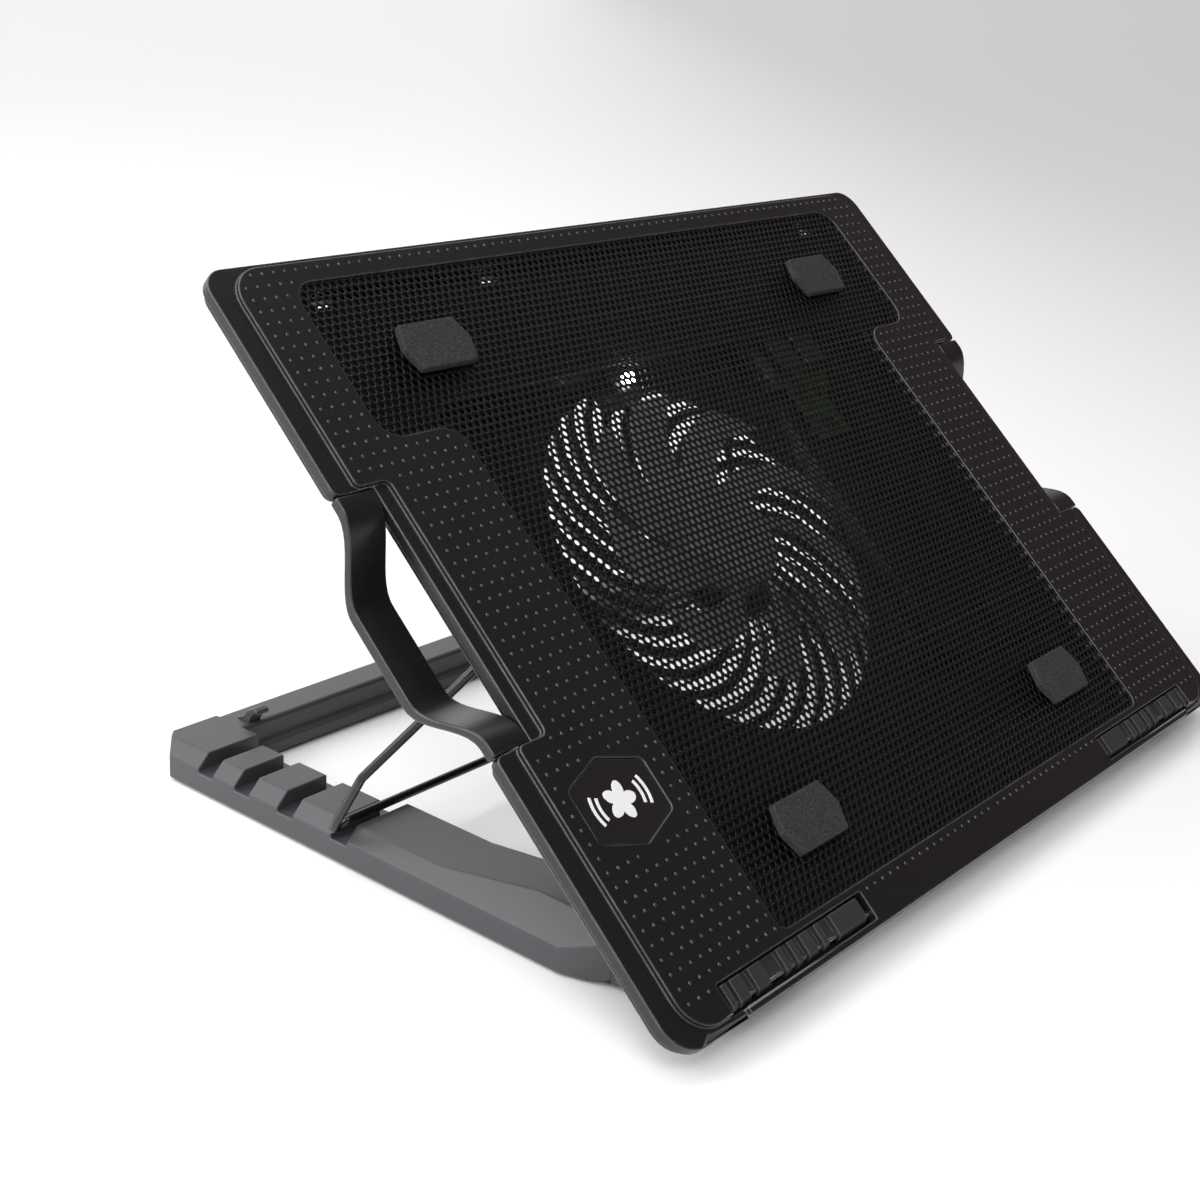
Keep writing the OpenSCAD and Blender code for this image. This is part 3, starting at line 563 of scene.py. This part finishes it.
def eased_node(name, body, slot, width, segments=3, angle=32, shown_as=None):
    """The CAD node's own shape, with its edges rounded."""
    made = piece(shown_as or name + "_moulding", cad_copy(name), body, slot, stands_for=[name])
    return ease(made, width, segments, angle)


# ---- tray: cover, sheet and shell -------------------------------------------

STUD_X = 12.5                                   # outermost column, from the side edge
STUD_Y = 12.4                                   # first row, from the front edge
PLATE_BACK = 274.5                              # the rows end before this
STUD_PITCH = 4.77
STUD_R = 0.58
STUD_H = 0.34
STUD_CLEAR = 1.9                                # plate needed all round a stud
STUD_CLEAR_NEAR = 3.3                           # and near the badge and the stops
NEAR = 4.0                                      # margin round those that counts as near


def tray_box(name):
    """Corners of a CAD node in the tray's own millimetres."""
    points = [TO_TRAY @ v.co for v in nodes[name].data.vertices]
    return Vector(map(min, *points)), Vector(map(max, *points))


def studded_at():
    """Test of whether a stud stands on whole plate, clear of the badge and the stops."""
    bm = bmesh.new()
    bm.from_mesh(nodes["top_cover"].data)
    bm.transform(TO_TRAY)
    tree = BVHTree.FromBMesh(bm)
    bm.free()
    busy = [tray_box(n) for n in ("badge_plate", "left_stop", "right_stop")]
    down, above = Vector((0, 0, -1)), 20
    turns = [i * math.tau / 12 for i in range(12)]

    def whole(x, y):
        near = any(lo.x - NEAR < x < hi.x + NEAR and lo.y - NEAR < y < hi.y + NEAR for lo, hi in busy)
        reach = STUD_CLEAR_NEAR if near else STUD_CLEAR
        for turn in turns:
            over = Vector((x + math.cos(turn) * reach, y + math.sin(turn) * reach, above))
            hit = tree.ray_cast(over, down)[0]
            if hit is None or abs(hit.z - PLATE_Z) > 0.05:
                return False
        return True
    return whole


def moved_copy(bm, geom, step):
    """Another of everything in geom, moved by step."""
    copy = bmesh.ops.duplicate(bm, geom=geom)["geom"]
    bmesh.ops.translate(bm, verts=[g for g in copy if isinstance(g, bmesh.types.BMVert)], vec=step)


def everything(bm):
    return bm.verts[:] + bm.edges[:] + bm.faces[:]


def make_studs():
    """Small raised studs in square rows all over the plate, open where they sink into it."""
    whole = studded_at()
    bm = turned([(STUD_R, -0.05), (STUD_R * 0.97, 0.12), (STUD_R * 0.8, 0.24), (STUD_R * 0.45, 0.32),
                 (0, STUD_H)], steps=10)
    first = everything(bm)
    rows = round((PLATE_BACK - STUD_Y) / STUD_PITCH) + 1
    for side in (-1, 1):
        for i in range(int((HALF_W - STUD_X) / STUD_PITCH) + 1):
            x = side * (HALF_W - STUD_X - i * STUD_PITCH)
            if side > 0 and x < STUD_PITCH / 2:
                continue
            for y in (STUD_Y + j * STUD_PITCH for j in range(rows)):
                if whole(x, y):
                    moved_copy(bm, first, (x, y, PLATE_Z))
    bmesh.ops.delete(bm, geom=first, context="VERTS")
    piece("plate_studs", bm, "tray", "shell_plastic", TRAY, stands_for=["top_cover"])


def make_top_cover():
    """The cover with rounded edges, and the studs on its plate."""
    ease(piece("cover_moulding", cad_copy("top_cover"), "tray", "shell_plastic",
               stands_for=["top_cover"]), 0.5)
    make_studs()


HOLE_PITCH = 3.25
HOLE_R = 1.13
SHEET_T = 0.5
SHEET_TOP = 1.3
LIP = 1.2                                       # how far the sheet runs under the cover
WAIST_LIP = 2.8                                 # and how far along its narrow part
WAIST_X = HALF_W - 62.5
WIDE_X = HALF_W - 30.5
SHEET_Y0 = 15.5
STEP_Y = 207
SHEET_Y1 = 269.5
WAIST_SEAMS = (78, 141)                         # where the strips of the narrow part meet
WIDE_SEAM = 238


def hole_cell():
    """One six-sided cell of the sheet, with its round hole."""
    bm = bmesh.new()
    hole = bmesh.ops.create_circle(bm, segments=12, radius=HOLE_R)["verts"]
    rim = bmesh.ops.create_circle(bm, segments=12, radius=HOLE_PITCH / 2)["verts"]
    for vert in rim:
        twelfth = round(math.degrees(math.atan2(vert.co.y, vert.co.x)) / 30)
        if twelfth % 2:
            vert.co *= 2 / math.sqrt(3)
    bmesh.ops.bridge_loops(bm, edges=bm.edges)
    return bm


def doubled(bm, count, step):
    """Repeats everything in bm at least count times along step, doubling as it goes."""
    made = 1
    while made < count:
        moved_copy(bm, everything(bm), Vector(step) * made)
        made *= 2


def trimmed(bm, x, y0, y1):
    """Cuts the flat lattice to the rectangle from -x to x and from y0 to y1."""
    for point, out in (((x, 0, 0), (1, 0, 0)), ((-x, 0, 0), (-1, 0, 0)),
                       ((0, y0, 0), (0, -1, 0)), ((0, y1, 0), (0, 1, 0))):
        bmesh.ops.bisect_plane(bm, geom=everything(bm), plane_co=point, plane_no=out,
                               clear_outer=True, dist=1e-4)


def make_sheet():
    """Perforated sheet in five strips that meet edge to edge and run a little under the cover."""
    row = HOLE_PITCH * math.sqrt(3) / 2
    narrow, wide = WAIST_X + WAIST_LIP, WIDE_X + LIP
    seams = [SHEET_Y0 - LIP, *WAIST_SEAMS, STEP_Y - WAIST_LIP, WIDE_SEAM, SHEET_Y1 + LIP]
    widths = [narrow, narrow, narrow, wide, wide]
    for number, (x, y0, y1) in enumerate(zip(widths, seams, seams[1:]), 1):
        bm = hole_cell()
        moved_copy(bm, everything(bm), (HOLE_PITCH / 2, row, 0))
        doubled(bm, 2 * x / HOLE_PITCH + 3, (HOLE_PITCH, 0, 0))
        doubled(bm, (y1 - y0) / row / 2 + 3, (0, 2 * row, 0))
        start_x = -HOLE_PITCH * math.ceil(x / HOLE_PITCH + 1)
        start_row = 2 * row * math.floor((y0 - 2 * row) / (2 * row))
        bmesh.ops.translate(bm, verts=bm.verts, vec=(start_x, start_row, SHEET_TOP))
        trimmed(bm, x, y0, y1)
        bmesh.ops.remove_doubles(bm, verts=bm.verts, dist=1e-3)
        bm.normal_update()
        for flat in bm.faces:
            if flat.normal.z < 0:
                flat.normal_flip()
        made = piece(f"perforated_sheet_{number}", bm, "tray", "grille_metal", TRAY,
                     stands_for=["mesh_grille"])
        wall = made.modifiers.new("sheet_thickness", "SOLIDIFY")
        wall.thickness = SHEET_T * MM
        wall.offset = -1


# ---- fan --------------------------------------------------------------------

HUB_R = 21
BLADE_ROOT = HUB_R - 0.8                        # sunk into the hub's wall
BLADE_TIP = 60.5
BLADE_T = 1.1
BLADES = 9
ROTOR_LOW = -15.6
ROTOR_HIGH = -5.2


def fan_blade():
    """One swept blade, narrower and flatter towards its tip and cambered near its root."""
    bm = bmesh.new()
    bmesh.ops.create_grid(bm, x_segments=12, y_segments=8, size=0.5)
    for vert in bm.verts:
        u, v = vert.co.x + 0.5, vert.co.y
        radius = BLADE_ROOT + (BLADE_TIP - BLADE_ROOT) * u
        chord = math.radians(23 - 3 * u)
        sweep = math.radians(-34) * u ** 1.3
        angle = sweep + v * chord
        height = 8.6 - 5.4 * u
        camber = 3.2 * (0.25 - v * v) * (1 - u)
        z = ROTOR_HIGH - 1.0 - (v + 0.5) * height + camber
        vert.co = (radius * math.cos(angle), radius * math.sin(angle), z)
    bmesh.ops.recalc_face_normals(bm, faces=bm.faces)
    bmesh.ops.solidify(bm, geom=bm.faces[:], thickness=BLADE_T)
    return bm


def make_rotor():
    """Cup-shaped hub with a dished middle, and its blades."""
    inside = HUB_R - 1.6
    hub = turned([(0, ROTOR_HIGH - 0.9), (7, ROTOR_HIGH - 0.9), (8, ROTOR_HIGH - 0.1),
                  (17.6, ROTOR_HIGH - 0.1), (19.6, ROTOR_HIGH - 0.7), (HUB_R - 0.3, ROTOR_HIGH - 1.9),
                  (HUB_R, ROTOR_HIGH - 3.6), (HUB_R, ROTOR_LOW + 0.2), (HUB_R - 0.4, ROTOR_LOW),
                  (inside, ROTOR_LOW), (inside, ROTOR_HIGH - 2), (0, ROTOR_HIGH - 2)], steps=72)
    parts = [hub]
    for i in range(BLADES):
        blade = fan_blade()
        bmesh.ops.rotate(blade, verts=blade.verts, cent=(0, 0, 0),
                         matrix=Matrix.Rotation(i * math.tau / BLADES, 3, "Z"))
        parts.append(blade)
    made = piece("impeller", joined(parts), "rotor", "fan_plastic", FAN_PLACE, stands_for=["fan_rotor"])
    ease(made, 0.25, segments=2, angle=40)


# ---- small parts ------------------------------------------------------------

def screw_head():
    """Pan head with a cross recess, its face down at z 0."""
    head = turned([(0, 1.6), (2.8, 1.6), (2.8, 1.0), (2.5, 0.45), (1.9, 0.1), (0, 0)], steps=32)
    arms = [block((-1.5, -0.28, -0.5), (1.5, 0.28, 0.9), 0.05),
            block((-0.28, -1.5, -0.5), (0.28, 1.5, 0.9), 0.05)]
    return combined(head, "DIFFERENCE", *arms)


def standing_at(low, high):
    """Place of a turned piece at the middle of a box, on its lowest face."""
    middle = (low + high) / 2
    return Matrix.Translation((middle.x, middle.y, low.z))


def make_screws():
    """Screws that join the two shells, their slots turned each its own way."""
    for number, (low, high) in enumerate(islands("cover_screws", TO_TRAY), 1):
        head = screw_head()
        tip = high.z - low.z
        shank = turned([(0, 1.5), (1.25, 1.5), (1.25, tip), (0, tip)], steps=16)
        bmesh.ops.rotate(head, verts=head.verts, cent=(0, 0, 0), matrix=Matrix.Rotation(number, 3, "Z"))
        even(piece(f"cover_screw_{number}", joined([head, shank]), "tray", "screw_steel",
                   TRAY @ standing_at(low, high), stands_for=["cover_screws"]))


def make_feet():
    """Rubber feet that stand on a ring, with a shallow dish inside it."""
    for number, (low, high) in enumerate(islands("base_feet"), 1):
        r = (high.x - low.x) / 2
        top = high.z - low.z
        foot = turned([(0, 0.25), (r - 3, 0.2), (r - 2.4, 0), (r - 0.6, 0), (r, 0.5), (r, top), (0, top)])
        even(piece(f"rubber_foot_{number}", foot, "base", "foot_rubber",
                   Matrix.Scale(MM, 4) @ standing_at(low, high), stands_for=["base_feet"]))


BOARD_T = 1.6
CHIP_H = 0.6


def make_board():
    """The larger and smaller components that stand on the CAD board."""
    low, high = tray_box("control_board")
    x, y, top = (low.x + high.x) / 2, low.y, low.z + BOARD_T
    parts = [block((x - 4, y + 1.6, top), (x + 3, y + 6.6, top + 1.6)),
             block((x - 9, y + 21, top), (x - 2, y + 27, top + 1.2))]
    for step in (0, 3, 6):
        parts.append(block((x - 8 + step, y + 17.6, top), (x - 6.6 + step, y + 19.4, top + CHIP_H), 0.1))
    for step in (0, 3, 6, 9):
        parts.append(block((x - 10, y + 3 + step, top), (x - 8.4, y + 4.6 + step, top + CHIP_H), 0.1))
    even(piece("board_parts", joined(parts), "tray", "stop_plastic", TRAY))


def make_base():
    """Both arms and both bars of the frame as the one moulding that they look like."""
    bm = combined(cad_copy("base_left_arm"), "UNION", cad_copy("base_rear_bar"),
                  cad_copy("base_right_arm"), cad_copy("base_front_bar"))
    bmesh.ops.remove_doubles(bm, verts=bm.verts, dist=2e-6)
    tidy_faces(bm)
    made = piece("base_frame", bm, "base", "frame_plastic",
                 stands_for=["base_left_arm", "base_right_arm", "base_rear_bar", "base_front_bar"])
    ease(made, 0.7)


def make_wire():
    """The bent wire, its facets rounded off."""
    bm = bmesh.new()
    bm.from_mesh(nodes["prop_wire"].data)
    bmesh.ops.remove_doubles(bm, verts=bm.verts, dist=2e-6)
    bmesh.ops.join_triangles(bm, faces=bm.faces, angle_face_threshold=0.7, angle_shape_threshold=3.1)
    made = piece("prop_bail", bm, "prop", "wire_black", stands_for=["prop_wire"])
    round_off = made.modifiers.new("round_off", "SUBSURF")
    round_off.levels = 1
    round_off.render_levels = 1


def make_eased_nodes():
    """The nodes that keep their CAD shape and get rounded edges."""
    for side in ("left", "right"):
        eased_node(f"{side}_handle", "tray", "shell_plastic", 0.8, shown_as=f"{side}_handle_band")
        eased_node(f"{side}_hinge_bracket", "tray", "shell_plastic", 0.5)
        eased_node(f"{side}_wire_saddle", "tray", "shell_plastic", 0.3)
        eased_node(f"{side}_hinge_pin", "base", "pin_steel", 0.3)
        eased_node(f"{side}_usb_socket", "tray", "socket_steel", 0.12, segments=2)
        eased_node(f"{side}_stop", f"{side}_stop", "stop_plastic", 0.15, segments=2, angle=40)
        for row in ("rear", "front"):
            eased_node(f"{row}_{side}_pad", "tray", "pad_rubber", 0.6)
    eased_node("fan_well", "tray", "shell_plastic", 0.4, segments=2)
    eased_node("wire_clips", "base", "frame_plastic", 0.35)
    eased_node("badge_plate", "tray", "badge_gloss", 0.15, segments=2)
    eased_node("badge_icon", "tray", "badge_white", 0.06, segments=1)
    eased_node("led_holder", "tray", "shell_plastic", 0.3)
    eased_node("fan_motor_base", "tray", "fan_plastic", 0.3)
    eased_node("fan_lead", "tray", "lead_jacket", 0.15)


def paint_plain_nodes():
    """Finishes of the CAD nodes that stay as they are."""
    slots = {s["node"]: s["material_slot"] for s in frame["record"]["subparts"]}
    for name, node in nodes.items():
        if not node.hide_render:
            node.data.materials.clear()
            node.data.materials.append(FINISH[slots[name]])


GRAIN = make_grain_group()
WEAR_AND_HIGHLIGHT = make_wear_and_highlight_group()
make_materials()
make_camera()
make_world()
make_floor()
area_light("window", (-1.5, 0.9, 1.1), (0, 0, 0.1), (1.3, 1.1), 18)
area_light("overhead", (-0.3, 0.5, 1.8), (0, 0, 0), (1.6, 1.2), 5)
area_light("key", (-0.85, -0.66, 1.15), (-0.05, 0, 0.1), (0.7, 0.5), 7)
make_top_cover()
make_sheet()
make_rotor()
make_screws()
make_feet()
make_board()
make_base()
make_wire()
make_eased_nodes()
paint_plain_nodes()
bpy.context.scene.view_settings.view_transform = "Standard"
